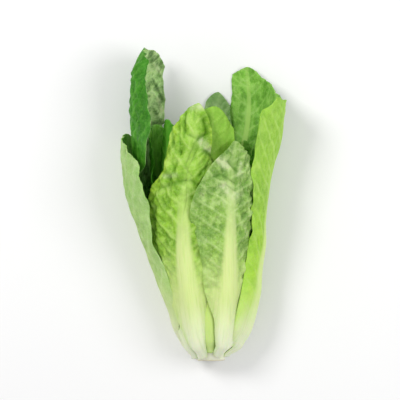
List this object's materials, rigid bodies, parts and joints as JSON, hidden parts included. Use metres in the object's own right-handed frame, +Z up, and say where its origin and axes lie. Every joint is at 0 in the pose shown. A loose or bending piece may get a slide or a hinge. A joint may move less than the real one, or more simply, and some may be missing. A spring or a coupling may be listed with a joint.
{
  "type": "romaine lettuce head",
  "caption": "Head of romaine lettuce lying on its back: long crinkled leaves on pale ribbed stalks, wrapped round a short cut stem, with taller loose leaves outside.",
  "frame": {"origin": "on the surface the head lies on, under the middle of its bounding box", "axes": "+Y along the head from its cut butt to its leaf tips, +Z up from the surface, +X to the right as seen from above with the tips away"},
  "size_m": [0.1486, 0.2822, 0.088],
  "materials": {
    "leaf_dark": "living leaf, dark green with pale veins, satin",
    "leaf_green": "living leaf, mid green with a pale midrib, satin",
    "leaf_lime": "living leaf, yellow-green with a near-white stalk, satin",
    "leaf_pale": "living leaf, pale green, satin",
    "stem": "moist cut vegetable flesh, cream"
  },
  "bodies": {
    "root": {"stem": "stem", "leaf_01_back_left": "leaf_pale", "leaf_02_right": "leaf_lime", "leaf_03_left_tall": "leaf_dark", "leaf_04_right_tall": "leaf_green", "leaf_05_front_right": "leaf_lime", "leaf_06_back": "leaf_green", "leaf_07_front_left": "leaf_lime", "leaf_08": "leaf_lime", "leaf_09": "leaf_green", "leaf_10": "leaf_dark", "leaf_11": "leaf_green", "leaf_12": "leaf_green", "leaf_13": "leaf_green", "leaf_14": "leaf_lime", "leaf_15": "leaf_lime", "leaf_16": "leaf_lime", "leaf_17": "leaf_lime", "leaf_18_heart": "leaf_pale", "leaf_19_heart": "leaf_pale", "leaf_20_heart": "leaf_pale"}
  },
  "joints": []
}
